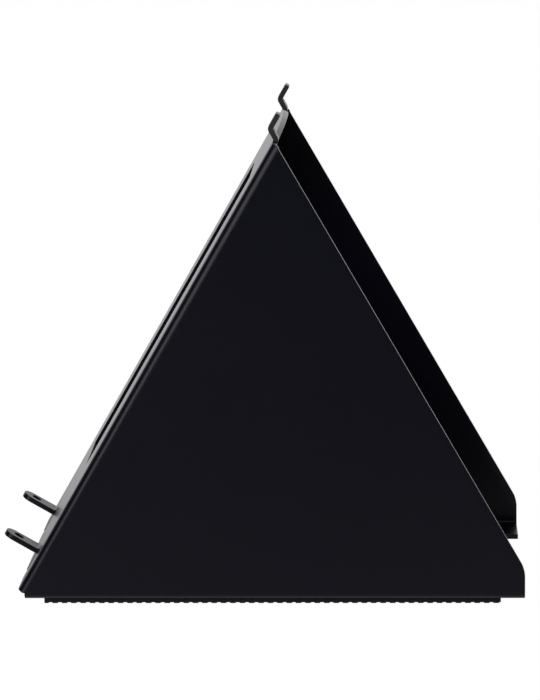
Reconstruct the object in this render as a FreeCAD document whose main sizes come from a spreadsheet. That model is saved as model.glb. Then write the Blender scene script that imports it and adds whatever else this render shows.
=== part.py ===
import FreeCAD, Part
import math
import os
import Sketcher

# Folded plate bracket of triangular side view. One sloped face plate, two side plates and two
# base flanges are bent from one sheet. Two joggled hooks stand at the top edge of the face
# plate, two drilled tongues stand out near its foot, and a ribbed rubber strip lies under each
# base flange. Millimetres. X runs from the tongues to the open mouth, Y across, Z up.

# Driving sizes. Every cell is a plain number with a name of its own.
SIZES = {
    # Folded plate
    "base_length": 300.0,          # sharp foot corner to the upright mouth edge
    "body_depth": 200.0,           # over the outsides of the two side plates
    "face_angle": 60.0,            # face plate above the base, degrees
    "face_length": 309.6,          # sharp foot corner to the top edge, along the slope
    "face_foot_gap": 6.5,          # sharp foot corner to the lower edge, along the slope
    "plate_thickness": 3.0,
    "bend_inner_radius": 2.5,
    "corner_relief": 7.2,          # sharp foot corner to the left end of sides and flanges
    "mouth_edge_height": 13.7,     # straight upright part of the mouth edge
    "mouth_corner_radius": 16.0,
    "flange_width": 38.0,
    "crown_rise": 6.5,             # rise of the bowed top edge between the hooks
    "crown_clearance": 2.0,        # from a hook to the foot of the crown
    # Window in the face plate
    "window_start": 77.0,          # sharp foot corner to the lower window edge, along the slope
    "window_border": 31.6,         # upper window edge to the top edge of the plate
    "window_width": 80.0,
    "window_corner_radius": 4.0,
    # Hooks
    "hook_width": 11.0,
    "hook_inset": 20.0,            # outside of a side plate to the middle of a hook
    "hook_angle": 60.0,            # slant of the joggle, degrees
    "hook_bend_radius": 0.8,       # inner radius
    "hook_gap": 3.3,               # face plane to the inside of the upper leg
    "hook_reach": 14.8,            # top edge to the hook's end, along the slope
    "hook_end_radius": 0.8,
    # Tongues
    "tongue_width": 13.5,
    "tongue_inset": 46.0,          # outside of a side plate to the middle of a tongue
    "tongue_height": 21.8,         # sharp foot corner to the tongue's underside, along the slope
    "tongue_reach": 22.4,          # face plane to the tip
    "tongue_bend_radius": 1.5,     # inner radius
    "tongue_tip_radius": 6.0,
    "tongue_relief": 1.5,          # cut on each side of a tongue
    "pin_hole_diameter": 6.0,
    "pin_hole_offset": 14.0,       # face plane to the middle of the hole
    # Rubber strips
    "strip_start": 18.4,           # sharp foot corner to the strip's left end
    "strip_end_gap": 14.0,         # least distance from the strip to the mouth edge
    "strip_bend_gap": 0.5,         # from the flange's bend to the strip
    "strip_edge_gap": 3.0,         # from the strip to the flange's free edge
    "strip_base": 2.8,
    "rib_height": 0.5,
    "rib_width": 3.5,
    "rib_pitch": 5.5,
    "rib_round": 0.4,
    "rib_lead": 2.6,               # width of the cut rib at the left end
}

doc = FreeCAD.newDocument("bracket")
sheet = doc.addObject("Spreadsheet::Sheet", "Sizes")
for row, (alias, value) in enumerate(SIZES.items(), start=1):
    sheet.set(f"A{row}", alias)
    sheet.set(f"B{row}", str(value))
    sheet.setAlias(f"B{row}", alias)
doc.recompute()


def size(alias):
    """A driving size, read back from the sheet."""
    return float(sheet.get(alias))


def origin_plane(body, role):
    """One of the body's own origin planes."""
    return next(item for item in body.Origin.OriginFeatures if item.Role == role)


def new_sketch(body, name, role):
    """A sketch on one of the body's own origin planes."""
    sketch = body.newObject("Sketcher::SketchObject", name)
    sketch.AttachmentSupport = [(origin_plane(body, role), "")]
    sketch.MapMode = "FlatFace"
    return sketch


def bind(sketch, constraint, name, expression):
    """Adds a named constraint whose value follows the sheet."""
    index = sketch.addConstraint(constraint)
    sketch.renameConstraint(index, name)
    sketch.setExpression(f"Constraints.{name}", expression)
    return index


def join(sketch, *pairs):
    """Makes pairs of end points meet."""
    for first, first_end, second, second_end in pairs:
        sketch.addConstraint(Sketcher.Constraint("Coincident", first, first_end, second, second_end))


def line(sketch, start, end):
    """A straight edge between two points of the sketch plane."""
    return sketch.addGeometry(Part.LineSegment(FreeCAD.Vector(*start, 0), FreeCAD.Vector(*end, 0)))


def arc(sketch, centre, radius, start_degrees, end_degrees):
    """A round edge, drawn anticlockwise."""
    circle = Part.Circle(FreeCAD.Vector(*centre, 0), FreeCAD.Vector(0, 0, 1), radius)
    return sketch.addGeometry(
        Part.ArcOfCircle(circle, math.radians(start_degrees), math.radians(end_degrees))
    )


def polygon(sketch, points):
    """A closed outline of straight edges, as a list of their numbers."""
    edges = [line(sketch, a, b) for a, b in zip(points, points[1:] + points[:1])]
    for a, b in zip(edges, edges[1:] + edges[:1]):
        sketch.addConstraint(Sketcher.Constraint("Coincident", a, END, b, START))
    return edges


def feature(body, kind, name, sketch, length, side="Symmetric", through=False, reversed_=False):
    """A pad or pocket of a sketch, with its length bound to the sheet."""
    before = body.Tip.Shape.Volume if body.Tip else 0.0
    made = body.newObject(f"PartDesign::{kind}", name)
    made.Profile = sketch
    made.SideType = side
    if through:
        made.Type = "ThroughAll"
    else:
        made.setExpression("Length", length)
    made.Reversed = reversed_
    doc.recompute()
    change = made.Shape.Volume - before
    if (change if kind == "Pad" else -change) < SMALLEST_CHANGE:
        raise RuntimeError(f"{name} changes nothing")
    return made


def fillet(body, name, base, chosen, radius):
    """Rounds the edges of the base feature that the test picks."""
    edges = [f"Edge{n}" for n, edge in enumerate(base.Shape.Edges, start=1) if chosen(edge)]
    if not edges:
        raise RuntimeError(f"{name} finds no edge")
    made = body.newObject("PartDesign::Fillet", name)
    made.Base = (base, edges)
    made.setExpression("Radius", radius)
    doc.recompute()
    return made


def direction(edge):
    """Unit vector along a straight edge, or None for a round one."""
    if not isinstance(edge.Curve, Part.Line):
        return None
    return (edge.Vertexes[-1].Point - edge.Vertexes[0].Point).normalize()


def is_along(edge, vector):
    """True for a straight edge parallel to the vector."""
    found = direction(edge)
    return found is not None and abs(found.dot(vector)) > PARALLEL


START, END, CENTRE = 1, 2, 3       # ends and middle of a sketch edge
AXES = -1                          # the sketch's own origin and X axis
UPRIGHT_AXIS = -2                  # the sketch's own Y axis
PARALLEL = 0.9999
NEAR = 0.01
SMALLEST_CHANGE = 1.0              # cubic millimetres that a pad or pocket must add or remove
TOOL_REACH = 2.0                   # a cutting outline runs this many base lengths out

face_angle = size("face_angle")
plate = size("plate_thickness")
depth = size("body_depth")
slope_axis = FreeCAD.Vector(1, 0, 0)
depth_axis = FreeCAD.Vector(0, 1, 0)
base_axis = FreeCAD.Vector(math.cos(math.radians(face_angle)), 0, -math.sin(math.radians(face_angle)))


def sloped(x, z):
    """A point of the upright side view, in the face plate's own plane."""
    turn = math.radians(face_angle)
    along = x * math.cos(turn) + z * math.sin(turn)
    outward = z * math.cos(turn) - x * math.sin(turn)
    return along, outward


def place_on_slope(body, across="0 mm"):
    """Leans a body drawn on the face plane, and centres the object over its origin."""
    body.Placement.Rotation = FreeCAD.Rotation(FreeCAD.Vector(0, 1, 0), -face_angle)
    body.setExpression("Placement.Rotation.Angle", "-Sizes.face_angle * 1 deg")
    body.setExpression("Placement.Base.x", f"-({CENTRE_X}) * 1 mm")
    body.setExpression("Placement.Base.y", across)
    body.setExpression("Placement.Base.z", "(Sizes.strip_base + Sizes.rib_height) * 1 mm")


# Half way between the tongue tips and the mouth edge, from the sharp foot corner.
CENTRE_X = (
    "(Sizes.base_length + Sizes.tongue_height * cos(Sizes.face_angle * 1 deg)"
    " - Sizes.tongue_reach * sin(Sizes.face_angle * 1 deg)) / 2"
)


# Ribs that fit the flange, the strip cut half way between two ribs, and its outer margin.
RIB_COUNT = (
    "floor((Sizes.base_length - Sizes.strip_start - Sizes.strip_end_gap - Sizes.rib_lead"
    " - (Sizes.rib_pitch - Sizes.rib_width) / 2) / Sizes.rib_pitch)"
)
STRIP_LENGTH = (
    f"Sizes.rib_lead + {RIB_COUNT} * Sizes.rib_pitch + (Sizes.rib_pitch - Sizes.rib_width) / 2"
)
STRIP_MARGIN = "(Sizes.bend_inner_radius + Sizes.plate_thickness + Sizes.strip_bend_gap)"


def folded_plate():
    """Face plate, side plates and base flanges, folded from one sheet.

    Drawn with the outside of the face plate on the XY plane: X up the slope, Z outward, and
    the origin at the sharp corner where the face plane meets the underside of the flanges.
    """
    body = doc.addObject("PartDesign::Body", "folded_plate")
    body.Label = "folded_plate"

    # Solid wedge between the face plane and the base plane, with its long bends rounded.
    reach = TOOL_REACH * size("base_length")
    blank_view = new_sketch(body, "blank_view", "XZ_Plane")
    open_wedge(blank_view, reach, 0)
    blank = feature(body, "Pad", "blank", blank_view, "Sizes.body_depth")

    def on_long_edge(edge, across, wall):
        middle_point = edge.CenterOfMass
        off_base = middle_point.x * base_axis.z - middle_point.z * base_axis.x
        on_side = abs(abs(middle_point.y) - across) < NEAR
        on_face = is_along(edge, slope_axis) and abs(middle_point.z + wall) < NEAR
        on_base = is_along(edge, base_axis) and abs(abs(off_base) - wall) < NEAR
        return on_side and (on_face or on_base)

    fillet(body, "outer_bends", blank, lambda edge: on_long_edge(edge, depth / 2, 0),
           "Sizes.bend_inner_radius + Sizes.plate_thickness")

    # Hollow, one plate thickness inside the face, the base and both sides.
    hollow_view = new_sketch(body, "hollow_view", "XZ_Plane")
    open_wedge(hollow_view, reach, plate)
    hollow = feature(body, "Pocket", "hollow", hollow_view,
                     "Sizes.body_depth - 2 * Sizes.plate_thickness")
    fillet(body, "inner_bends", hollow, lambda edge: on_long_edge(edge, depth / 2 - plate, plate),
           "Sizes.bend_inner_radius")

    # Everything outside the side view of the bracket is cut away.
    trim_view = new_sketch(body, "trim_view", "XZ_Plane")
    side_view(trim_view)
    frame_edges = polygon(trim_view, [(-reach, -reach), (reach, -reach), (reach, reach), (-reach, reach)])
    frame_low, frame_right, frame_high, frame_left = frame_edges
    trim_view.addConstraint([
        Sketcher.Constraint("Horizontal", frame_low),
        Sketcher.Constraint("Horizontal", frame_high),
        Sketcher.Constraint("Vertical", frame_right),
        Sketcher.Constraint("Vertical", frame_left),
        Sketcher.Constraint("Equal", frame_low, frame_right),
        Sketcher.Constraint("Symmetric", frame_low, START, frame_high, START, AXES, START),
    ])
    bind(trim_view, Sketcher.Constraint("Distance", frame_low, 2 * reach), "reach",
         f"{2 * TOOL_REACH} * Sizes.base_length")
    feature(body, "Pocket", "trim", trim_view, "Sizes.body_depth + Sizes.plate_thickness")

    # Open floor between the two flanges.
    floor_view = new_sketch(body, "floor_view", "XZ_Plane")
    up = (-base_axis.z, base_axis.x)
    start = (0.0, 0.0)
    end = (reach * base_axis.x, reach * base_axis.z)
    edges = polygon(floor_view, [
        start,
        end,
        (end[0] + plate * up[0], end[1] + plate * up[1]),
        (plate * up[0], plate * up[1]),
    ])
    floor_line, floor_end, floor_top, floor_start = edges
    floor_view.addConstraint([
        Sketcher.Constraint("Coincident", floor_line, START, AXES, START),
        Sketcher.Constraint("Perpendicular", floor_line, floor_end),
        Sketcher.Constraint("Parallel", floor_line, floor_top),
        Sketcher.Constraint("Parallel", floor_start, floor_end),
    ])
    bind(floor_view, Sketcher.Constraint("Angle", floor_line, math.radians(-face_angle)), "face_angle",
         "-Sizes.face_angle * 1 deg")
    bind(floor_view, Sketcher.Constraint("Distance", floor_line, reach), "reach",
         f"{TOOL_REACH} * Sizes.base_length")
    bind(floor_view, Sketcher.Constraint("Distance", floor_end, plate), "plate_thickness",
         "Sizes.plate_thickness")
    feature(body, "Pocket", "floor_opening", floor_view, "Sizes.body_depth - 2 * Sizes.flange_width")

    # Window through the face plate.
    window_view = new_sketch(body, "window_view", "XY_Plane")
    window(window_view)
    feature(body, "Pocket", "window", window_view, "Sizes.plate_thickness", "One side")

    # Open notches at the foot, which clear the tongues.
    notch_view = new_sketch(body, "notch_view", "XY_Plane")
    for side, sign in (("front", -1), ("rear", 1)):
        notch(notch_view, side, sign)
    feature(body, "Pocket", "tongue_notches", notch_view, "Sizes.plate_thickness", "One side")

    # The top edge is bowed between the hooks.
    crown_view = new_sketch(body, "crown_view", "XY_Plane")
    crown(crown_view)
    feature(body, "Pad", "crown", crown_view, "Sizes.plate_thickness", "One side", reversed_=True)
    place_on_slope(body)
    doc.recompute()
    return body


def open_wedge(sketch, reach, wall):
    """A triangle from the sharp corner outward, the wall's thickness inside face and base."""
    inner = sloped(wall / math.tan(math.radians(face_angle / 2)), wall)
    far_base = (inner[0] + reach * base_axis.x, inner[1] + reach * base_axis.z)
    on_face, far_side, on_base = polygon(sketch, [inner, (inner[0] + reach, inner[1]), far_base])
    sketch.addConstraint([
        Sketcher.Constraint("Horizontal", on_face),
        Sketcher.Constraint("Equal", on_face, on_base),
    ])
    if wall:
        bind(sketch, Sketcher.Constraint("DistanceY", on_face, START, AXES, START, wall), "face_wall",
             "Sizes.plate_thickness")
        bind(sketch, Sketcher.Constraint("Distance", AXES, START, on_base, wall), "base_wall",
             "Sizes.plate_thickness")
    else:
        sketch.addConstraint(Sketcher.Constraint("Coincident", on_face, START, AXES, START))
    bind(sketch, Sketcher.Constraint("Angle", on_face, START, on_base, END, math.radians(-face_angle)),
         "face_angle", "-Sizes.face_angle * 1 deg")
    bind(sketch, Sketcher.Constraint("Distance", on_face, reach), "reach",
         f"{TOOL_REACH} * Sizes.base_length")


def side_view(sketch):
    """Side view of the bracket, with the rounded corner of its mouth."""
    base_length = size("base_length")
    relief = size("corner_relief")
    corner = size("mouth_corner_radius")
    edge_top = size("mouth_edge_height")
    face_length = size("face_length")
    foot = size("face_foot_gap")
    points = [
        sloped(relief, 0),
        sloped(base_length, 0),
        sloped(base_length, edge_top),
        sloped(base_length - corner / 2, edge_top + corner / 2),
        (face_length, -plate),
        (face_length, 0),
        (foot, 0),
        sloped(relief, corner / 2),
    ]
    base = line(sketch, points[0], points[1])
    upright = line(sketch, points[1], points[2])
    middle = sloped(base_length - corner, edge_top)
    low = math.degrees(math.atan2(points[2][1] - middle[1], points[2][0] - middle[0]))
    high = math.degrees(math.atan2(points[3][1] - middle[1], points[3][0] - middle[0]))
    mouth_corner = arc(sketch, middle, corner, low, high)
    mouth = line(sketch, points[3], points[4])
    top = line(sketch, points[4], points[5])
    face = line(sketch, points[5], points[6])
    foot_edge = line(sketch, points[6], points[7])
    relief_edge = line(sketch, points[7], points[0])
    join(
        sketch,
        (base, END, upright, START),
        (mouth, END, top, START),
        (top, END, face, START),
        (face, END, foot_edge, START),
        (foot_edge, END, relief_edge, START),
        (relief_edge, END, base, START),
    )
    sketch.addConstraint([
        Sketcher.Constraint("Tangent", upright, END, mouth_corner, START),
        Sketcher.Constraint("Tangent", mouth_corner, END, mouth, START),
        Sketcher.Constraint("PointOnObject", AXES, START, base),
        Sketcher.Constraint("PointOnObject", face, START, AXES),
        Sketcher.Constraint("PointOnObject", face, END, AXES),
        Sketcher.Constraint("Perpendicular", base, upright),
        Sketcher.Constraint("Parallel", relief_edge, upright),
        Sketcher.Constraint("Vertical", top),
        Sketcher.Constraint("Vertical", foot_edge),
    ])
    bind(sketch, Sketcher.Constraint("Angle", base, math.radians(-face_angle)), "face_angle",
         "-Sizes.face_angle * 1 deg")
    bind(sketch, Sketcher.Constraint("Distance", AXES, START, upright, base_length), "base_length",
         "Sizes.base_length")
    bind(sketch, Sketcher.Constraint("Distance", AXES, START, relief_edge, relief), "corner_relief",
         "Sizes.corner_relief")
    bind(sketch, Sketcher.Constraint("Distance", upright, edge_top), "mouth_edge_height",
         "Sizes.mouth_edge_height")
    bind(sketch, Sketcher.Constraint("Radius", mouth_corner, corner), "mouth_corner_radius",
         "Sizes.mouth_corner_radius")
    bind(sketch, Sketcher.Constraint("DistanceX", AXES, START, face, START, face_length),
         "face_length", "Sizes.face_length")
    bind(sketch, Sketcher.Constraint("DistanceX", AXES, START, face, END, foot), "face_foot_gap",
         "Sizes.face_foot_gap")
    bind(sketch, Sketcher.Constraint("Distance", top, plate), "plate_thickness",
         "Sizes.plate_thickness")


def window(sketch):
    """A rectangle with round corners, centred across the face plate."""
    low = size("window_start")
    high = size("face_length") - size("window_border")
    half = size("window_width") / 2
    radius = size("window_corner_radius")
    bottom = line(sketch, (low, -half + radius), (low, half - radius))
    left = line(sketch, (low + radius, half), (high - radius, half))
    top = line(sketch, (high, half - radius), (high, -half + radius))
    right = line(sketch, (high - radius, -half), (low + radius, -half))
    corners = [
        (arc(sketch, (low + radius, half - radius), radius, 90, 180), left, START, bottom, END),
        (arc(sketch, (high - radius, half - radius), radius, 0, 90), top, START, left, END),
        (arc(sketch, (high - radius, -half + radius), radius, 270, 360), right, START, top, END),
        (arc(sketch, (low + radius, -half + radius), radius, 180, 270), bottom, START, right, END),
    ]
    for corner, first, first_end, second, second_end in corners:
        sketch.addConstraint(Sketcher.Constraint("Tangent", corner, START, first, first_end))
        sketch.addConstraint(Sketcher.Constraint("Tangent", corner, END, second, second_end))
    for corner in corners[1:]:
        sketch.addConstraint(Sketcher.Constraint("Equal", corners[0][0], corner[0]))
    sketch.addConstraint([
        Sketcher.Constraint("Vertical", top),
        Sketcher.Constraint("Horizontal", left),
        Sketcher.Constraint("Horizontal", right),
        Sketcher.Constraint("Symmetric", bottom, START, bottom, END, AXES),
    ])
    bind(sketch, Sketcher.Constraint("DistanceX", AXES, START, bottom, START, low), "start",
         "Sizes.window_start")
    bind(sketch, Sketcher.Constraint("DistanceX", AXES, START, top, START, high), "end",
         "Sizes.face_length - Sizes.window_border")
    bind(sketch, Sketcher.Constraint("DistanceY", right, START, left, START, 2 * half), "width",
         "Sizes.window_width")
    bind(sketch, Sketcher.Constraint("Radius", corners[0][0], radius), "radius",
         "Sizes.window_corner_radius")


def notch(sketch, side, sign):
    """A slot open at the foot of the face plate, as wide as a tongue and its two side cuts."""
    half = size("tongue_width") / 2 + size("tongue_relief")
    middle = sign * (depth / 2 - size("tongue_inset"))
    root = size("tongue_height") + plate + size("tongue_bend_radius")
    edges = polygon(sketch, [(0, middle - half), (root, middle - half),
                             (root, middle + half), (0, middle + half)])
    lower, end, upper, mouth = edges
    sketch.addConstraint([
        Sketcher.Constraint("Horizontal", lower),
        Sketcher.Constraint("Horizontal", upper),
        Sketcher.Constraint("Vertical", end),
        Sketcher.Constraint("Vertical", mouth),
        Sketcher.Constraint("PointOnObject", lower, START, UPRIGHT_AXIS),
    ])
    bind(sketch, Sketcher.Constraint("DistanceX", AXES, START, lower, END, root), f"{side}_root",
         "Sizes.tongue_height + Sizes.plate_thickness + Sizes.tongue_bend_radius")
    bind(sketch, Sketcher.Constraint("Distance", end, 2 * half), f"{side}_width",
         "Sizes.tongue_width + 2 * Sizes.tongue_relief")
    outer = "(Sizes.body_depth / 2 - Sizes.tongue_inset + Sizes.tongue_width / 2 + Sizes.tongue_relief)"
    if sign > 0:
        bind(sketch, Sketcher.Constraint("DistanceY", AXES, START, upper, START, middle + half),
             f"{side}_place", outer)
    else:
        bind(sketch, Sketcher.Constraint("DistanceY", lower, START, AXES, START, half - middle),
             f"{side}_place", outer)


def crown(sketch):
    """A shallow bow on the top edge, between the hooks."""
    half = depth / 2 - size("hook_inset") - size("hook_width") / 2 - size("crown_clearance")
    rise = size("crown_rise")
    edge = size("face_length")
    radius = (half * half + rise * rise) / (2 * rise)
    swing = math.degrees(math.asin(half / radius))
    bow = arc(sketch, (edge + rise - radius, 0), radius, -swing, swing)
    chord = line(sketch, (edge, half), (edge, -half))
    join(sketch, (bow, END, chord, START), (chord, END, bow, START))
    sketch.addConstraint([
        Sketcher.Constraint("Vertical", chord),
        Sketcher.Constraint("PointOnObject", bow, CENTRE, AXES),
    ])
    half_width = (
        "(Sizes.body_depth / 2 - Sizes.hook_inset - Sizes.hook_width / 2 - Sizes.crown_clearance)"
    )
    bind(sketch, Sketcher.Constraint("DistanceX", AXES, START, chord, START, edge), "edge",
         "Sizes.face_length")
    bind(sketch, Sketcher.Constraint("Distance", chord, 2 * half), "width", f"2 * {half_width}")
    bind(sketch, Sketcher.Constraint("Radius", bow, radius), "radius",
         f"({half_width}^2 + Sizes.crown_rise^2) / (2 * Sizes.crown_rise)")


def hook(name, sign):
    """A strip of the plate's own thickness, joggled outward to catch behind a panel."""
    body = doc.addObject("PartDesign::Body", name)
    body.Label = name
    view = new_sketch(body, f"{name}_view", "XZ_Plane")
    root = size("face_length")
    small = size("hook_bend_radius")
    large = small + plate
    gap = size("hook_gap")
    slant = size("hook_angle")
    tip = root + size("hook_reach")
    turn = math.radians(slant)
    centre_gap = gap - small - small
    run = (small + large) * math.sin(turn)
    rise_left = centre_gap + (small + large) * math.cos(turn)
    run += rise_left / math.tan(turn)
    first = (root, small)
    second = (root + run, gap - small)
    outer_first = arc(view, first, small, 270, 270 + slant)
    inner_first = arc(view, first, large, 270, 270 + slant)
    inner_second = arc(view, second, small, 90, 90 + slant)
    outer_second = arc(view, second, large, 90, 90 + slant)
    sine, cosine = math.sin(turn), math.cos(turn)
    outer_slant = line(view, (first[0] + small * sine, first[1] - small * cosine),
                       (second[0] - large * sine, second[1] + large * cosine))
    inner_slant = line(view, (first[0] + large * sine, first[1] - large * cosine),
                       (second[0] - small * sine, second[1] + small * cosine))
    inner_leg = line(view, (second[0], gap), (tip, gap))
    outer_leg = line(view, (second[0], gap + plate), (tip, gap + plate))
    end_face = line(view, (tip, gap), (tip, gap + plate))
    root_face = line(view, (root, -plate), (root, 0))
    join(
        view,
        (root_face, START, inner_first, START),
        (root_face, END, outer_first, START),
        (inner_leg, END, end_face, START),
        (outer_leg, END, end_face, END),
        (outer_first, CENTRE, inner_first, CENTRE),
        (inner_second, CENTRE, outer_second, CENTRE),
    )
    view.addConstraint([
        Sketcher.Constraint("Tangent", outer_first, END, outer_slant, START),
        Sketcher.Constraint("Tangent", inner_first, END, inner_slant, START),
        Sketcher.Constraint("Tangent", outer_second, END, outer_slant, END),
        Sketcher.Constraint("Tangent", inner_second, END, inner_slant, END),
        Sketcher.Constraint("Tangent", inner_second, START, inner_leg, START),
        Sketcher.Constraint("Tangent", outer_second, START, outer_leg, START),
        Sketcher.Constraint("Parallel", outer_slant, inner_slant),
        Sketcher.Constraint("Horizontal", inner_leg),
        Sketcher.Constraint("Horizontal", outer_leg),
        Sketcher.Constraint("Vertical", root_face),
        Sketcher.Constraint("Vertical", end_face),
        Sketcher.Constraint("Vertical", first_centre_line(view, outer_first, first, root)),
        Sketcher.Constraint("PointOnObject", root_face, END, AXES),
    ])
    bind(view, Sketcher.Constraint("DistanceX", AXES, START, root_face, END, root), "root",
         "Sizes.face_length")
    bind(view, Sketcher.Constraint("Distance", root_face, plate), "thickness", "Sizes.plate_thickness")
    bind(view, Sketcher.Constraint("Radius", outer_first, small), "first_radius",
         "Sizes.hook_bend_radius")
    bind(view, Sketcher.Constraint("Radius", inner_second, small), "second_radius",
         "Sizes.hook_bend_radius")
    bind(view, Sketcher.Constraint("Angle", outer_slant, turn), "slant", "Sizes.hook_angle * 1 deg")
    bind(view, Sketcher.Constraint("DistanceY", AXES, START, inner_leg, END, gap), "gap",
         "Sizes.hook_gap")
    bind(view, Sketcher.Constraint("DistanceX", root_face, END, end_face, START, tip - root), "reach",
         "Sizes.hook_reach")
    strip = feature(body, "Pad", f"{name}_strip", view, "Sizes.hook_width")

    def end_edge(edge):
        return is_along(edge, depth_axis) and abs(edge.CenterOfMass.x - tip) < NEAR

    fillet(body, f"{name}_end", strip, end_edge, "Sizes.hook_end_radius")
    offset = "(Sizes.body_depth / 2 - Sizes.hook_inset) * 1 mm"
    place_on_slope(body, offset if sign > 0 else f"-{offset}")
    doc.recompute()
    return body


def first_centre_line(sketch, bend, centre, root):
    """A construction line from a bend's centre to its start, kept square to the leg."""
    made = line(sketch, centre, (root, 0))
    sketch.toggleConstruction(made)
    join(sketch, (made, START, bend, CENTRE), (made, END, bend, START))
    return made


def tongue(name, sign):
    """A drilled tab of the plate's own thickness, bent square out of the face plate."""
    body = doc.addObject("PartDesign::Body", name)
    body.Label = name
    view = new_sketch(body, f"{name}_view", "XZ_Plane")
    under = size("tongue_height")
    small = size("tongue_bend_radius")
    large = small + plate
    reach = size("tongue_reach")
    over = under + plate
    centre = (over + small, small)
    inner_bend = arc(view, centre, small, 180, 270)
    outer_bend = arc(view, centre, large, 180, 270)
    root_face = line(view, (centre[0], -plate), (centre[0], 0))
    upper = line(view, (over, small), (over, reach))
    lower = line(view, (under, small), (under, reach))
    end_face = line(view, (over, reach), (under, reach))
    join(
        view,
        (root_face, START, outer_bend, END),
        (root_face, END, inner_bend, END),
        (upper, END, end_face, START),
        (lower, END, end_face, END),
        (inner_bend, CENTRE, outer_bend, CENTRE),
    )
    view.addConstraint([
        Sketcher.Constraint("Tangent", inner_bend, START, upper, START),
        Sketcher.Constraint("Tangent", outer_bend, START, lower, START),
        Sketcher.Constraint("Vertical", upper),
        Sketcher.Constraint("Vertical", lower),
        Sketcher.Constraint("Vertical", root_face),
        Sketcher.Constraint("Vertical", first_end_line(view, inner_bend, centre)),
        Sketcher.Constraint("Horizontal", end_face),
        Sketcher.Constraint("PointOnObject", root_face, END, AXES),
    ])
    bind(view, Sketcher.Constraint("DistanceX", AXES, START, lower, END, under), "under",
         "Sizes.tongue_height")
    bind(view, Sketcher.Constraint("Distance", end_face, plate), "thickness", "Sizes.plate_thickness")
    bind(view, Sketcher.Constraint("Radius", inner_bend, small), "bend", "Sizes.tongue_bend_radius")
    bind(view, Sketcher.Constraint("DistanceY", AXES, START, upper, END, reach), "reach",
         "Sizes.tongue_reach")
    tab = feature(body, "Pad", f"{name}_tab", view, "Sizes.tongue_width")

    def tip_corner(edge):
        return is_along(edge, slope_axis) and abs(edge.CenterOfMass.z - reach) < NEAR

    fillet(body, f"{name}_tip", tab, tip_corner, "Sizes.tongue_tip_radius")
    hole_view = new_sketch(body, f"{name}_hole_view", "YZ_Plane")
    radius = size("pin_hole_diameter") / 2
    offset = size("pin_hole_offset")
    circle = Part.Circle(FreeCAD.Vector(0, offset, 0), FreeCAD.Vector(0, 0, 1), radius)
    ring = hole_view.addGeometry(circle)
    hole_view.addConstraint(Sketcher.Constraint("PointOnObject", ring, CENTRE, UPRIGHT_AXIS))
    bind(hole_view, Sketcher.Constraint("DistanceY", AXES, START, ring, CENTRE, offset), "offset",
         "Sizes.pin_hole_offset")
    bind(hole_view, Sketcher.Constraint("Diameter", ring, 2 * radius), "diameter",
         "Sizes.pin_hole_diameter")
    feature(body, "Pocket", f"{name}_pin_hole", hole_view, "", "Symmetric", through=True)
    across = "(Sizes.body_depth / 2 - Sizes.tongue_inset) * 1 mm"
    place_on_slope(body, across if sign > 0 else f"-{across}")
    doc.recompute()
    return body


def first_end_line(sketch, bend, centre):
    """A construction line from a bend's centre to its end, kept square to the face."""
    made = line(sketch, centre, (centre[0], 0))
    sketch.toggleConstruction(made)
    join(sketch, (made, START, bend, CENTRE), (made, END, bend, END))
    return made


def rubber_strip(name, sign):
    """A moulded rubber strip, ribbed across, bonded under a base flange.

    Drawn with its upper side on the XY plane and its left end on the YZ plane.
    """
    body = doc.addObject("PartDesign::Body", name)
    body.Label = name
    slab_view = new_sketch(body, f"{name}_slab_view", "XZ_Plane")
    length = size("rib_lead") + size("rib_pitch") - size("rib_width")
    thick = size("strip_base")
    rectangle(slab_view, 0, length, -thick, 0, "length", STRIP_LENGTH, "thickness",
              "Sizes.strip_base")
    width = f"Sizes.flange_width - {STRIP_MARGIN} - Sizes.strip_edge_gap"
    feature(body, "Pad", f"{name}_slab", slab_view, width)

    # The rib that the left end cuts through, then the full ribs.
    lead = size("rib_lead")
    high = size("rib_height")
    lead_view = new_sketch(body, f"{name}_lead_view", "XZ_Plane")
    rectangle(lead_view, 0, lead, -thick - high, -thick, "lead", "Sizes.rib_lead", "height",
              "Sizes.rib_height", drop="Sizes.strip_base")
    feature(body, "Pad", f"{name}_lead", lead_view, width)
    rib_view = new_sketch(body, f"{name}_rib_view", "XZ_Plane")
    rib_outline(rib_view)
    rib = feature(body, "Pad", f"{name}_rib", rib_view, width)
    ribs = body.newObject("PartDesign::LinearPattern", f"{name}_ribs")
    ribs.Originals = [rib]
    ribs.Direction = (origin_plane(body, "X_Axis"), [""])
    ribs.Mode = "Spacing"
    ribs.setExpression("Offset", "Sizes.rib_pitch")
    ribs.setExpression("Occurrences", RIB_COUNT)
    body.Tip = ribs
    body.setExpression("Placement.Base.x", f"(Sizes.strip_start - {CENTRE_X}) * 1 mm")
    across = f"(Sizes.body_depth - Sizes.flange_width - {STRIP_MARGIN} + Sizes.strip_edge_gap) / 2"
    body.setExpression("Placement.Base.y", f"{'' if sign > 0 else '-'}{across} * 1 mm")
    body.setExpression("Placement.Base.z", "(Sizes.strip_base + Sizes.rib_height) * 1 mm")
    doc.recompute()
    return body


def rectangle(sketch, left, right, low, high, wide_name, wide_text, tall_name, tall_text, drop=None):
    """A rectangle that starts on the Z axis and hangs from the X axis, or from below it."""
    bottom, end, top, start = polygon(sketch, [(left, low), (right, low), (right, high), (left, high)])
    sketch.addConstraint([
        Sketcher.Constraint("Horizontal", bottom),
        Sketcher.Constraint("Horizontal", top),
        Sketcher.Constraint("Vertical", end),
        Sketcher.Constraint("Vertical", start),
        Sketcher.Constraint("PointOnObject", top, END, UPRIGHT_AXIS),
    ])
    bind(sketch, Sketcher.Constraint("Distance", top, right - left), wide_name, wide_text)
    bind(sketch, Sketcher.Constraint("Distance", end, high - low), tall_name, tall_text)
    if drop:
        bind(sketch, Sketcher.Constraint("DistanceY", top, END, AXES, START, -high), "drop", drop)
    else:
        sketch.addConstraint(Sketcher.Constraint("PointOnObject", top, START, AXES))


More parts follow.
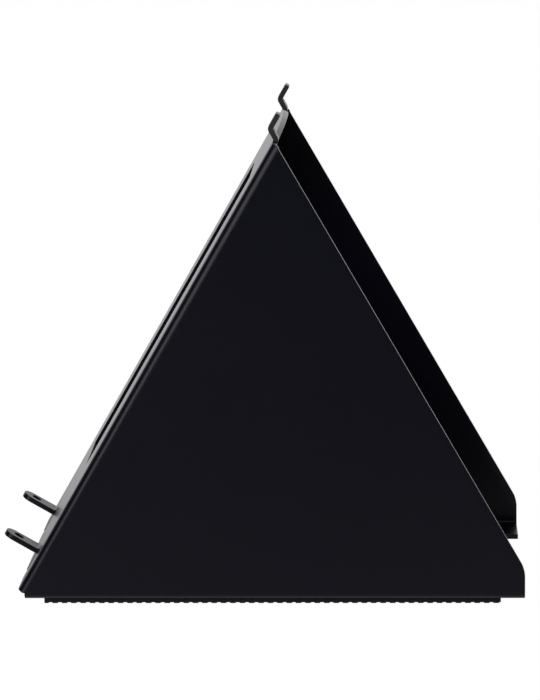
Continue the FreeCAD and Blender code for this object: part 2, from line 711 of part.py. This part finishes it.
def rib_outline(sketch):
    """The first full rib: flat crest, round shoulders, straight flanks."""
    high = size("rib_height")
    wide = size("rib_width")
    turn = size("rib_round")
    left = size("rib_lead") + size("rib_pitch") - wide
    right = left + wide
    top = -size("strip_base")
    low = top - high
    roof = line(sketch, (right, top), (left, top))
    flank = line(sketch, (left, top), (left, low + turn))
    crest = line(sketch, (left + turn, low), (right - turn, low))
    far_flank = line(sketch, (right, low + turn), (right, top))
    shoulder = arc(sketch, (left + turn, low + turn), turn, 180, 270)
    far_shoulder = arc(sketch, (right - turn, low + turn), turn, 270, 360)
    join(sketch, (roof, END, flank, START), (far_flank, END, roof, START))
    sketch.addConstraint([
        Sketcher.Constraint("Tangent", flank, END, shoulder, START),
        Sketcher.Constraint("Tangent", shoulder, END, crest, START),
        Sketcher.Constraint("Tangent", crest, END, far_shoulder, START),
        Sketcher.Constraint("Tangent", far_shoulder, END, far_flank, START),
        Sketcher.Constraint("Horizontal", roof),
        Sketcher.Constraint("Horizontal", crest),
        Sketcher.Constraint("Vertical", flank),
        Sketcher.Constraint("Vertical", far_flank),
        Sketcher.Constraint("Equal", shoulder, far_shoulder),
    ])
    bind(sketch, Sketcher.Constraint("DistanceX", AXES, START, roof, START, right), "rib_end",
         "Sizes.rib_lead + Sizes.rib_pitch")
    bind(sketch, Sketcher.Constraint("Distance", roof, wide), "rib_width", "Sizes.rib_width")
    bind(sketch, Sketcher.Constraint("DistanceY", roof, START, AXES, START, -top), "drop",
         "Sizes.strip_base")
    bind(sketch, Sketcher.Constraint("DistanceY", crest, START, flank, START, high), "height",
         "Sizes.rib_height")
    bind(sketch, Sketcher.Constraint("Radius", shoulder, turn), "round", "Sizes.rib_round")


bodies = [
    folded_plate(),
    hook("front_hook", -1),
    hook("rear_hook", 1),
    tongue("front_lock_tongue", -1),
    tongue("rear_lock_tongue", 1),
    rubber_strip("front_rubber_strip", -1),
    rubber_strip("rear_rubber_strip", 1),
]
doc.recompute()

for item in doc.Objects:
    if {"Invalid", "Error"} & set(item.State):
        raise RuntimeError(f"{item.Name} failed: {item.State}")
for body in bodies:
    if body.Shape.isNull() or not body.Shape.isValid() or len(body.Shape.Solids) != 1:
        raise RuntimeError(f"{body.Label} is not one valid solid")

os.makedirs("parts", exist_ok=True)
for body in bodies:
    body.Shape.exportStep(f"parts/{body.Label}.step")
    box = body.Shape.BoundBox
    print(
        body.Label,
        f"volume {body.Shape.Volume:.1f}",
        f"x {box.XMin:.2f} {box.XMax:.2f}",
        f"y {box.YMin:.2f} {box.YMax:.2f}",
        f"z {box.ZMin:.2f} {box.ZMax:.2f}",
    )
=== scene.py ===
import bmesh
import bpy
import math
from mathutils import Matrix, Vector


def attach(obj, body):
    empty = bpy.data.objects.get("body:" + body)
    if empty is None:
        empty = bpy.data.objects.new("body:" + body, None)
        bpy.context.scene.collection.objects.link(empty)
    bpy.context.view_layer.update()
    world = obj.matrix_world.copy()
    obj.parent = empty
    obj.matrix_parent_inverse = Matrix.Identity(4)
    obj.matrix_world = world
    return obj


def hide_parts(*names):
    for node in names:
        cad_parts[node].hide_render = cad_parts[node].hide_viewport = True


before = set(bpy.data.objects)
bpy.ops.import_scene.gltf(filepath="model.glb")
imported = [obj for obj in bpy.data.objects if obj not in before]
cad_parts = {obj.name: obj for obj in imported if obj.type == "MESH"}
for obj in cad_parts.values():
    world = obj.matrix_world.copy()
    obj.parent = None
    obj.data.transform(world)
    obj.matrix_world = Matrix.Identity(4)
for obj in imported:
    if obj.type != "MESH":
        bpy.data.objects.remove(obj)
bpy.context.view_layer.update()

# Folded plate. One steel sheet 3 mm thick, laser cut and bent: a windowed sloping face, two
# triangular sides and two flanges turned in under them. The cut edges are slightly rounded and
# the whole sheet is powder coated black.
MM = 0.001
SHEET = 3.0 * MM
BEND = 5.5 * MM                      # outer radius of the long bends
BEND_STEPS = 8
SLOPE = math.radians(60)
BASE_LENGTH = 300.0 * MM
HALF_DEPTH = 100.0 * MM
FOOT = 6.5 * MM                      # sharp corner to the face's lower edge, up the slope
TOP = 309.6 * MM                     # sharp corner to the face's top edge, up the slope
RELIEF = 7.2 * MM                    # sharp corner to the left end of sides and flanges
FLANGE = 38.0 * MM
MOUTH_CORNER = 18.0 * MM             # height of the mouth's corner before it is rounded
MOUTH_CUT = 4.3 * MM                 # taken off both sides of that corner
CROWN_HALF = 72.5 * MM
CROWN_RISE = 6.5 * MM
WINDOW_LOW = 77.0 * MM
WINDOW_HIGH = 278.0 * MM
WINDOW_HALF = 40.0 * MM
WINDOW_ROUND = 4.0 * MM
NOTCH_INNER = 45.75 * MM
NOTCH_OUTER = 62.25 * MM
NOTCH_TOP = 26.3 * MM
CUT_EDGE = 0.35 * MM                 # rounding of the cut edges
SHARP_EDGE = math.radians(38)        # edges that turn more than this are cut edges
BOW_CUTS = 15                        # points along half of the bowed top edge
WELD = 0.001 * MM
SHARP_CORNER = Vector((-145.751, 0.0, 3.3)) * MM
HALF_SLOPE = math.tan(SLOPE / 2)
UP_SLOPE = Vector((math.cos(SLOPE), 0.0, math.sin(SLOPE)))
OUTWARD = Vector((-math.sin(SLOPE), 0.0, math.cos(SLOPE)))
X, Y, Z = (Vector(axis) for axis in ((1, 0, 0), (0, 1, 0), (0, 0, 1)))


def on_slope(along, across, outward):
    """A point given up the slope, across the face and outward from it."""
    return SHARP_CORNER + UP_SLOPE * along + Y * across + OUTWARD * outward


def add_face(mesh, points):
    """One flat face through the points."""
    return mesh.faces.new([mesh.verts.new(point) for point in points])


def edge_between(face, first, second):
    """The face's edge that joins two of its corners."""
    return next(e for e in face.edges if {first, second} == set(e.verts))


def round_corner(mesh, corner, cut, steps=6):
    """Rounds a corner of a flat face."""
    bmesh.ops.bevel(mesh, geom=[corner], offset=cut, offset_type="OFFSET", segments=steps,
                    profile=0.5, affect="VERTICES", material=-1)


def finished(mesh, name, node, material, sheet=0.0, edge=CUT_EDGE, edge_steps=3):
    """Turns a bmesh into a piece that stands for a CAD node, with its cut edges rounded."""
    data = bpy.data.meshes.new(name)
    bmesh.ops.recalc_face_normals(mesh, faces=mesh.faces)
    mesh.to_mesh(data)
    mesh.free()
    data.polygons.foreach_set("use_smooth", [True] * len(data.polygons))
    data.materials.append(material)
    piece = bpy.data.objects.new(name, data)
    bpy.context.scene.collection.objects.link(piece)
    if sheet:
        wall = piece.modifiers.new("sheet", "SOLIDIFY")
        wall.thickness = sheet
        wall.offset = -1.0
        wall.use_even_offset = True
    rounded = piece.modifiers.new("cut_edges", "BEVEL")
    rounded.width = edge
    rounded.segments = edge_steps
    rounded.limit_method = "ANGLE"
    rounded.angle_limit = SHARP_EDGE
    rounded.harden_normals = True
    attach(piece, "root")
    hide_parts(node)


class Shade:
    """One output of a material's nodes. Arithmetic on it adds Math nodes beside it."""

    def __init__(self, socket):
        self.socket = socket

    def node(self, kind, settings=None, inputs=None, output=0):
        """Adds a node: its settings first, then its sockets by name or number."""
        made = self.socket.id_data.nodes.new(kind)
        for key, value in (settings or {}).items():
            if key == "stops":
                ramp = made.color_ramp
                while len(ramp.elements) < len(value):
                    ramp.elements.new(0.5)
                for element, (place, colour) in zip(ramp.elements, value):
                    element.position = place
                    element.color = colour
            else:
                setattr(made, key, value)
        for key, value in (inputs or {}).items():
            if isinstance(value, Shade):
                self.socket.id_data.links.new(value.socket, made.inputs[key])
            else:
                made.inputs[key].default_value = value
        return Shade(made.outputs[output])

    def maths(self, operation, first, second):
        return self.node("ShaderNodeMath", {"operation": operation}, {0: first, 1: second})

    def __add__(self, other):
        return self.maths("ADD", self, other)

    __radd__ = __add__

    def __mul__(self, other):
        return self.maths("MULTIPLY", self, other)

    __rmul__ = __mul__

    def __sub__(self, other):
        return self.maths("SUBTRACT", self, other)

    def __rsub__(self, other):
        return self.maths("SUBTRACT", other, self)


def new_material(name):
    """An empty material with its shader, and the place of each point on the object."""
    material = bpy.data.materials.new(name)
    material.use_nodes = True
    tree = material.node_tree
    shader = next(n for n in tree.nodes if n.type == "BSDF_PRINCIPLED")
    place = Shade(tree.nodes.new("ShaderNodeTexCoord").outputs["Object"])
    return material, shader, place


def feed(shader, name, value):
    """Links a varying value to a socket of the shader."""
    shader.id_data.links.new(value.socket, shader.inputs[name])


def noise(place, scale, detail, roughness=0.5):
    """A soft random pattern on the object, with its scale in cycles per metre."""
    return place.node("ShaderNodeTexNoise", {}, {
        "Vector": place, "Scale": scale, "Detail": detail, "Roughness": roughness})


COAT_SMOOTHEST = 0.22                # roughness before the pebbles and patches add to it
COAT_SPECULAR = 0.2
COAT_BUMP = 0.25
COAT_RELIEF = 0.1 * MM
BLACK_DEEP = (0.0010, 0.0011, 0.0060)
BLACK_PALE = (0.0024, 0.0026, 0.0098)


def powder_coat(name, deep, pale):
    """Black polyester powder: a fine pebbled skin over slow waves, with faint dull patches."""
    material, shader, place = new_material(name)
    pebbles = noise(place, 1300.0, 3.0, 0.6)
    waves = noise(place, 260.0, 2.0)
    patches = noise(place, 26.0, 4.0, 0.6)
    tone = place.node("ShaderNodeMix", {"data_type": "RGBA"}, {
        0: patches * 0.6 + pebbles * 0.4,
        6: (*deep, 1.0),
        7: (*pale, 1.0),
    }, output=2)
    feed(shader, "Base Color", tone)
    feed(shader, "Roughness", COAT_SMOOTHEST + pebbles * 0.08 + patches * 0.06)
    feed(shader, "Normal", place.node("ShaderNodeBump", {}, {
        "Strength": COAT_BUMP, "Distance": COAT_RELIEF, "Height": pebbles * 0.35 + waves * 0.65}))
    shader.inputs["Specular IOR Level"].default_value = COAT_SPECULAR
    return material


black_coat = powder_coat("black_powder_coat", BLACK_DEEP, BLACK_PALE)
plate = bmesh.new()
slope_gap = on_slope(BEND / HALF_SLOPE, HALF_DEPTH, -BEND)
mouth_high = SHARP_CORNER + X * BASE_LENGTH + Y * HALF_DEPTH + Z * MOUTH_CORNER
mouth_run = on_slope(TOP, HALF_DEPTH, -SHEET) - mouth_high
lean = mouth_run.dot(UP_SLOPE) / mouth_run.dot(OUTWARD)
slope_top = on_slope(TOP - (BEND - SHEET) * lean, HALF_DEPTH, -BEND)
side = add_face(plate, [
    slope_gap,
    SHARP_CORNER + X * BASE_LENGTH + Y * HALF_DEPTH + Z * BEND,
    mouth_high,
    slope_top,
])
corner, base_end, mouth, peak = side.verts
slope_edge = edge_between(side, peak, corner)
base_edge = edge_between(side, corner, base_end)
round_corner(plate, mouth, MOUTH_CUT)

# The two bends of one side: the sheet's edge is swung round each bend's own centre line.
bend_line = slope_gap - Y * BEND
slope_bend = bmesh.ops.spin(plate, geom=[slope_edge], cent=bend_line, axis=UP_SLOPE,
                            angle=math.pi / 2, steps=BEND_STEPS)
base_bend = bmesh.ops.spin(plate, geom=[base_edge], cent=bend_line, axis=-X,
                           angle=math.pi / 2, steps=BEND_STEPS)
for vert in plate.verts:
    local = vert.co - SHARP_CORNER
    along, deep = local.dot(UP_SLOPE), -local.dot(OUTWARD)
    if deep < BEND - WELD and along < TOP / 2 and local.z > 0 and vert.link_faces:
        mitre = max(deep / HALF_SLOPE, FOOT)
        if local.y > HALF_DEPTH - BEND - WELD and deep / HALF_SLOPE < along + WELD \
                and local.z > local.x * HALF_SLOPE - WELD:
            vert.co += UP_SLOPE * (mitre - along)
    elif deep < BEND - WELD and along > TOP / 2:
        vert.co += UP_SLOPE * (TOP - max(deep - SHEET, 0.0) * lean - along)
for vert in plate.verts:
    local = vert.co - SHARP_CORNER
    if local.z < BEND - WELD and local.x < BASE_LENGTH / 2 \
            and local.z < local.x * HALF_SLOPE - WELD:
        vert.co.x = SHARP_CORNER.x + max(local.z / HALF_SLOPE, RELIEF)

# The flange, drawn out from the end of the base bend.
flange_edge = [e for e in base_bend["geom_last"] if isinstance(e, bmesh.types.BMEdge)]
drawn = bmesh.ops.extrude_edge_only(plate, edges=flange_edge)["geom"]
bmesh.ops.translate(plate, verts=[v for v in drawn if isinstance(v, bmesh.types.BMVert)],
                    vec=-Y * (FLANGE - BEND))

# Half of the face, round half of the window and one notch, with its bowed top edge.
half_face = add_face(plate, [on_slope(along, across, 0.0) for along, across in (
    (FOOT, 0.0), (FOOT, NOTCH_INNER), (NOTCH_TOP, NOTCH_INNER), (NOTCH_TOP, NOTCH_OUTER),
    (FOOT, NOTCH_OUTER), (FOOT, HALF_DEPTH - BEND), (TOP, HALF_DEPTH - BEND), (TOP, CROWN_HALF),
    (TOP, 0.0), (WINDOW_HIGH, 0.0), (WINDOW_HIGH, WINDOW_HALF), (WINDOW_LOW, WINDOW_HALF),
    (WINDOW_LOW, 0.0),
)])
outline = list(half_face.verts)
bow = edge_between(half_face, outline[7], outline[8])
for window_corner in (outline[10], outline[11]):
    round_corner(plate, window_corner, WINDOW_ROUND)
bmesh.ops.subdivide_edges(plate, edges=[bow], cuts=BOW_CUTS)
bow_radius = (CROWN_HALF ** 2 + CROWN_RISE ** 2) / (2 * CROWN_RISE)
for vert in plate.verts:
    local = vert.co - SHARP_CORNER
    if abs(local.dot(UP_SLOPE) - TOP) < WELD and local.y < CROWN_HALF - WELD:
        rise = math.sqrt(bow_radius ** 2 - local.y ** 2) - (bow_radius - CROWN_RISE)
        vert.co += UP_SLOPE * rise
bmesh.ops.remove_doubles(plate, verts=plate.verts, dist=WELD)
bmesh.ops.mirror(plate, geom=plate.verts[:] + plate.edges[:] + plate.faces[:], axis="Y",
                 merge_dist=WELD)
bmesh.ops.remove_doubles(plate, verts=plate.verts, dist=WELD)
finished(plate, "folded_sheet", "folded_plate", black_coat, sheet=SHEET)

# Hooks. Two narrow strips of the same sheet at the ends of the top edge, each bent outward and
# back again so that its upper leg stands 3.3 mm in front of the face and catches a panel. Their
# coat is the plate's black coat painted a little greyer, as painted light for the light the hooks
# catch.
HOOK_HALF = 5.5 * MM
HOOK_MIDDLE = 80.0 * MM
HOOK_BEND = 0.8 * MM                 # inner radius
HOOK_ANGLE = math.radians(60)
HOOK_GAP = 3.3 * MM
HOOK_REACH = 14.8 * MM
HOOK_END = 0.8 * MM                  # rounding of the tip
HOOK_EDGE = 0.9 * MM                 # rounding of the other edges
# Painted light: the hooks share the plate's coat, and these paler tones stand for the light that
# falls on them.
HOOK_PAINTED_LIGHT_DEEP = (0.022, 0.022, 0.026)
HOOK_PAINTED_LIGHT_PALE = (0.060, 0.060, 0.068)
painted_light_coat = powder_coat("painted_light_powder_coat", HOOK_PAINTED_LIGHT_DEEP, HOOK_PAINTED_LIGHT_PALE)


def bend_on(mesh, face, pivot, angle, steps=8):
    """Swings the end face of a strip round a pivot line across it, and returns the new end."""
    swung = bmesh.ops.spin(mesh, geom=[face], cent=pivot, axis=Y, angle=angle, steps=steps)
    return next(f for f in swung["geom_last"] if isinstance(f, bmesh.types.BMFace))


def draw_on(mesh, face, run):
    """Draws the end face of a strip straight on, and returns the new end."""
    drawn_out = bmesh.ops.extrude_discrete_faces(mesh, faces=[face])["faces"][0]
    bmesh.ops.translate(mesh, verts=drawn_out.verts, vec=run)
    return drawn_out


def round_edges_across(mesh, face, cut):
    """Rounds the edges of a face that lie across the sloped face."""
    across = [e for e in face.edges if abs((e.verts[0].co - e.verts[1].co).normalized().y) > 0.9]
    bmesh.ops.bevel(mesh, geom=across, offset=cut, offset_type="OFFSET", segments=4,
                    profile=0.5, affect="EDGES", material=-1)


slant_rise = HOOK_GAP - 2 * HOOK_BEND + (2 * HOOK_BEND + SHEET) * math.cos(HOOK_ANGLE)
slant_length = slant_rise / math.sin(HOOK_ANGLE)
slant = UP_SLOPE * math.cos(HOOK_ANGLE) + OUTWARD * math.sin(HOOK_ANGLE)
slant_out = OUTWARD * math.cos(HOOK_ANGLE) - UP_SLOPE * math.sin(HOOK_ANGLE)
for name, middle in (("front_hook", -HOOK_MIDDLE), ("rear_hook", HOOK_MIDDLE)):
    hook = bmesh.new()
    root = add_face(hook, [on_slope(TOP, middle + across, outward) for across, outward in (
        (-HOOK_HALF, -SHEET), (HOOK_HALF, -SHEET), (HOOK_HALF, 0.0), (-HOOK_HALF, 0.0))])
    first = on_slope(TOP, middle, HOOK_BEND)
    end = bend_on(hook, root, first, -HOOK_ANGLE)
    end = draw_on(hook, end, slant * slant_length)
    second = first + slant * slant_length + slant_out * -(2 * HOOK_BEND + SHEET)
    end = bend_on(hook, end, second, HOOK_ANGLE)
    far = (end.calc_center_median() - SHARP_CORNER).dot(UP_SLOPE)
    end = draw_on(hook, end, UP_SLOPE * (TOP + HOOK_REACH - far))
    round_edges_across(hook, end, HOOK_END)
    bmesh.ops.remove_doubles(hook, verts=hook.verts, dist=WELD)
    finished(hook, f"{name}_strip", name, painted_light_coat, edge=HOOK_EDGE,
             edge_steps=5)

# Lock tongues. Two tabs cut free of the face by the open notches and bent square outward, with
# a rounded tip and a 6 mm hole for a pin.
TONGUE_HALF = 6.75 * MM
TONGUE_MIDDLE = 54.0 * MM
TONGUE_UNDER = 21.8 * MM
TONGUE_BEND = 1.5 * MM               # inner radius
TONGUE_REACH = 22.4 * MM
TONGUE_TIP = 6.0 * MM
HOLE_RADIUS = 3.0 * MM
HOLE_STEPS = 48
HOLE_OUT = 14.0 * MM

for name, middle in (("front_lock_tongue", -TONGUE_MIDDLE), ("rear_lock_tongue", TONGUE_MIDDLE)):
    tongue = bmesh.new()
    tab_shape = ((-TONGUE_HALF, TONGUE_BEND), (TONGUE_HALF, TONGUE_BEND),
                 (TONGUE_HALF, TONGUE_REACH), (-TONGUE_HALF, TONGUE_REACH))
    tab = add_face(tongue, [on_slope(TONGUE_UNDER, middle + across, outward)
                            for across, outward in tab_shape])
    for tip in list(tab.verts)[2:]:
        round_corner(tongue, tip, TONGUE_TIP, steps=8)
    rim = list(tongue.edges)
    bmesh.ops.delete(tongue, geom=tongue.faces[:], context="FACES_ONLY")
    turn = Matrix.Translation(on_slope(TONGUE_UNDER, middle, HOLE_OUT)) @ \
        Matrix.Rotation(math.pi / 2 - SLOPE, 4, "Y")
    ring = bmesh.ops.create_circle(tongue, cap_ends=False, radius=HOLE_RADIUS,
                                   segments=HOLE_STEPS, matrix=turn)
    ring_edges = {e for v in ring["verts"] for e in v.link_edges}
    filled = bmesh.ops.triangle_fill(tongue, use_beauty=True, edges=rim + list(ring_edges))
    skin = [f for f in filled["geom"] if isinstance(f, bmesh.types.BMFace)]
    raised = bmesh.ops.extrude_face_region(tongue, geom=skin)["geom"]
    bmesh.ops.translate(tongue, verts=[v for v in raised if isinstance(v, bmesh.types.BMVert)],
                        vec=UP_SLOPE * SHEET)
    open_end = next(f for f in tongue.faces if all(
        abs((v.co - SHARP_CORNER).dot(OUTWARD) - TONGUE_BEND) < WELD for v in f.verts))
    pivot = on_slope(TONGUE_UNDER + SHEET + TONGUE_BEND, middle, TONGUE_BEND)
    bend_on(tongue, open_end, pivot, -math.pi / 2)
    bmesh.ops.remove_doubles(tongue, verts=tongue.verts, dist=WELD)
    finished(tongue, f"{name}_tab", name, black_coat)

# Rubber strips. Moulded black rubber mat, ribbed across, cut to length through a rib at the
# left end and bonded under each flange.
RUBBER_START = SHARP_CORNER.x + 18.4 * MM
RUBBER_LENGTH = 267.6 * MM
RUBBER_INNER = 65.0 * MM
RUBBER_OUTER = 94.0 * MM
RUBBER_BASE = 2.8 * MM
RIB_HEIGHT = 0.5 * MM
RIB_LEAD = 2.6 * MM
RIB_WIDTH = 3.5 * MM
RIB_PITCH = 5.5 * MM
RIB_COUNT = 48
RIB_ROUND = 0.45 * MM
RUBBER_EDGE = 0.12 * MM              # rounding of the other edges
RUBBER_SMOOTHEST = 0.62
RUBBER_SPECULAR = 0.25
RUBBER_BUMP = 0.5
RUBBER_RELIEF = 0.05 * MM
RUBBER_DEEP = (0.005, 0.0052, 0.0065)
RUBBER_PALE = (0.014, 0.0145, 0.0165)


def moulded_rubber():
    """Matt black rubber with a fine bloom and a faint grain."""
    material, shader, place = new_material("black_moulded_rubber")
    grain = noise(place, 2200.0, 3.0)
    bloom = noise(place, 70.0, 5.0, 0.65)
    tone = place.node("ShaderNodeMix", {"data_type": "RGBA"}, {
        0: bloom,
        6: (*RUBBER_DEEP, 1.0),
        7: (*RUBBER_PALE, 1.0),
    }, output=2)
    feed(shader, "Base Color", tone)
    feed(shader, "Roughness", RUBBER_SMOOTHEST + bloom * 0.2)
    feed(shader, "Normal", place.node("ShaderNodeBump", {}, {
        "Strength": RUBBER_BUMP, "Distance": RUBBER_RELIEF, "Height": grain}))
    shader.inputs["Specular IOR Level"].default_value = RUBBER_SPECULAR
    return material


black_rubber = moulded_rubber()
for name, sign in (("front_rubber_strip", -1), ("rear_rubber_strip", 1)):
    mat = bmesh.new()
    middle = Vector((RUBBER_START + RUBBER_LENGTH / 2, sign * (RUBBER_INNER + RUBBER_OUTER) / 2,
                     SHARP_CORNER.z - RUBBER_BASE / 2))
    extent = Matrix.Diagonal((RUBBER_LENGTH, RUBBER_OUTER - RUBBER_INNER, RUBBER_BASE, 1.0))
    bmesh.ops.create_cube(mat, size=1.0, matrix=Matrix.Translation(middle) @ extent)
    cuts = [RIB_LEAD]
    for number in range(RIB_COUNT):
        right = RIB_LEAD + RIB_PITCH * (number + 1)
        cuts += [right - RIB_WIDTH, right]
    for cut in cuts:
        bmesh.ops.bisect_plane(mat, geom=mat.verts[:] + mat.edges[:] + mat.faces[:],
                               plane_co=(RUBBER_START + cut, 0.0, 0.0), plane_no=X)
    under = [f for f in mat.faces if f.normal.z < -0.9]
    ribs = [f for f in under if f.calc_center_median().x < RUBBER_START + RIB_LEAD
            or abs(max(v.co.x for v in f.verts) - min(v.co.x for v in f.verts)
                   - RIB_WIDTH) < WELD * 10]
    for rib in ribs:
        crest = bmesh.ops.extrude_discrete_faces(mat, faces=[rib])["faces"][0]
        bmesh.ops.translate(mat, verts=crest.verts, vec=-Z * RIB_HEIGHT)
        round_edges_across(mat, crest, RIB_ROUND)
    bmesh.ops.remove_doubles(mat, verts=mat.verts, dist=WELD)
    finished(mat, f"{name}_mat", name, black_rubber, edge=RUBBER_EDGE, edge_steps=2)

# Floor and light. A white floor that shows white to the camera and keeps a faint shadow, a world
# that is white behind the object and dim in front, a soft lamp in front on the left and a weak
# one overhead.
FLOOR_HALF = 6.0                     # metres
FLOOR_GREY = 0.6
FLOOR_GLOW = 1.05
FLOOR_SHARE = 0.94                   # how much of what the camera sees is glow and not paint
FLOOR_FADE = 0.9                     # metres each way in which its reflection comes up
floor_mesh = bmesh.new()
bmesh.ops.create_grid(floor_mesh, x_segments=1, y_segments=1, size=FLOOR_HALF)
floor_data = bpy.data.meshes.new("floor")
floor_mesh.to_mesh(floor_data)
floor_mesh.free()
floor = bpy.data.objects.new("floor", floor_data)
bpy.context.scene.collection.objects.link(floor)
floor_white = bpy.data.materials.new("white_floor")
floor_white.use_nodes = True
floor_tree = floor_white.node_tree
floor_paint = next(n for n in floor_tree.nodes if n.type == "BSDF_PRINCIPLED")
floor_paint.inputs["Base Color"].default_value = (FLOOR_GREY, FLOOR_GREY, FLOOR_GREY, 1.0)
floor_paint.inputs["Roughness"].default_value = 0.9
floor_out = next(n for n in floor_tree.nodes if n.type == "OUTPUT_MATERIAL")
path = floor_tree.nodes.new("ShaderNodeLightPath")
seen = Shade(path.outputs["Is Camera Ray"])
WHITE = (1.0, 1.0, 1.0, 1.0)
glow = seen.node("ShaderNodeEmission", {}, {"Color": WHITE, "Strength": FLOOR_GLOW})
reflected = Shade(path.outputs["Is Glossy Ray"]) + Shade(path.outputs["Is Transmission Ray"])
floor_place = Shade(floor_tree.nodes.new("ShaderNodeTexCoord").outputs["Object"])
rearward = floor_place.node("ShaderNodeSeparateXYZ", {}, {0: floor_place}, output=1)
SOFT_STEP = {"clamp": True, "interpolation_type": "SMOOTHSTEP"}
behind_object = rearward.node("ShaderNodeMapRange", SOFT_STEP, {
    "Value": rearward, "From Min": -FLOOR_FADE, "From Max": FLOOR_FADE, "To Min": 0.0,
    "To Max": 1.0})
blend = seen.node("ShaderNodeMixShader", {}, {
    0: (seen + reflected * behind_object) * FLOOR_SHARE,
    1: Shade(floor_paint.outputs[0]), 2: glow})
floor_tree.links.new(blend.socket, floor_out.inputs["Surface"])
floor_data.materials.append(floor_white)

world = bpy.data.worlds.new("studio")
bpy.context.scene.world = world
world.use_nodes = True
world_tree = world.node_tree
backdrop = next(n for n in world_tree.nodes if n.type == "BACKGROUND")
world_path = world_tree.nodes.new("ShaderNodeLightPath")
direction = Shade(world_tree.nodes.new("ShaderNodeTexCoord").outputs["Generated"])
behind = direction.node("ShaderNodeSeparateXYZ", {}, {0: direction}, output=1)
FRONT_LEVEL = 0.05
BACK_LEVEL = 1.0
FRONT_ENDS = 0.35                    # rearward part of the direction where the level rises
BACK_BEGINS = 0.85
gradient = behind.node("ShaderNodeMapRange", SOFT_STEP, {
    "Value": behind, "From Min": FRONT_ENDS, "From Max": BACK_BEGINS, "To Min": FRONT_LEVEL,
    "To Max": BACK_LEVEL})
camera_sees = Shade(world_path.outputs["Is Camera Ray"])
strength = gradient.node("ShaderNodeMath", {"operation": "MAXIMUM"}, {0: gradient, 1: camera_sees})
world_tree.links.new(strength.socket, backdrop.inputs["Strength"])
backdrop.inputs["Color"].default_value = WHITE

aim = Vector((0.0, 0.0, 0.12))       # metres; each lamp below has its place, size and watts
for name, place, size, power in (
        ("left_front_box", Vector((-1.35, -1.55, 0.90)), 1.5, 27.0),
        ("top_box", Vector((0.2, -0.4, 2.2)), 1.6, 4.0)):
    lamp_data = bpy.data.lights.new(name, "AREA")
    lamp_data.shape = "SQUARE"
    lamp_data.size = size
    lamp_data.energy = power
    lamp = bpy.data.objects.new(name, lamp_data)
    lamp.location = place
    lamp.rotation_mode = "QUATERNION"
    lamp.rotation_quaternion = (aim - place).to_track_quat("-Z", "Y")
    bpy.context.scene.collection.objects.link(lamp)

# Camera. A long lens about 2.3 metres in front of the object, half a metre up and slightly to the
# right, looking a little down.
LENS = 198.778
SENSOR = 36.0
CAMERA_PLACE = (0.09282, -2.29808, 0.53238)
PITCH = math.radians(9.822)
YAW = math.radians(2.240)
ROLL = math.radians(-0.539)
forward = Vector((-math.sin(YAW) * math.cos(PITCH), math.cos(YAW) * math.cos(PITCH),
                  -math.sin(PITCH)))
right = Vector((math.cos(YAW), math.sin(YAW), 0.0))
up = right.cross(forward)
turned_right = right * math.cos(ROLL) + up * math.sin(ROLL)
turned_up = up * math.cos(ROLL) - right * math.sin(ROLL)
camera_data = bpy.data.cameras.new("camera")
camera_data.sensor_width = SENSOR
camera_data.lens = LENS
camera_data.clip_start = 0.1
camera_data.clip_end = 50.0
camera = bpy.data.objects.new("camera", camera_data)
bpy.context.scene.collection.objects.link(camera)
camera_axes = Matrix((turned_right, turned_up, -forward)).transposed().to_4x4()
camera.matrix_world = Matrix.Translation(CAMERA_PLACE) @ camera_axes
bpy.context.scene.camera = camera
bpy.context.scene.view_settings.view_transform = "Standard"

bpy.context.view_layer.update()
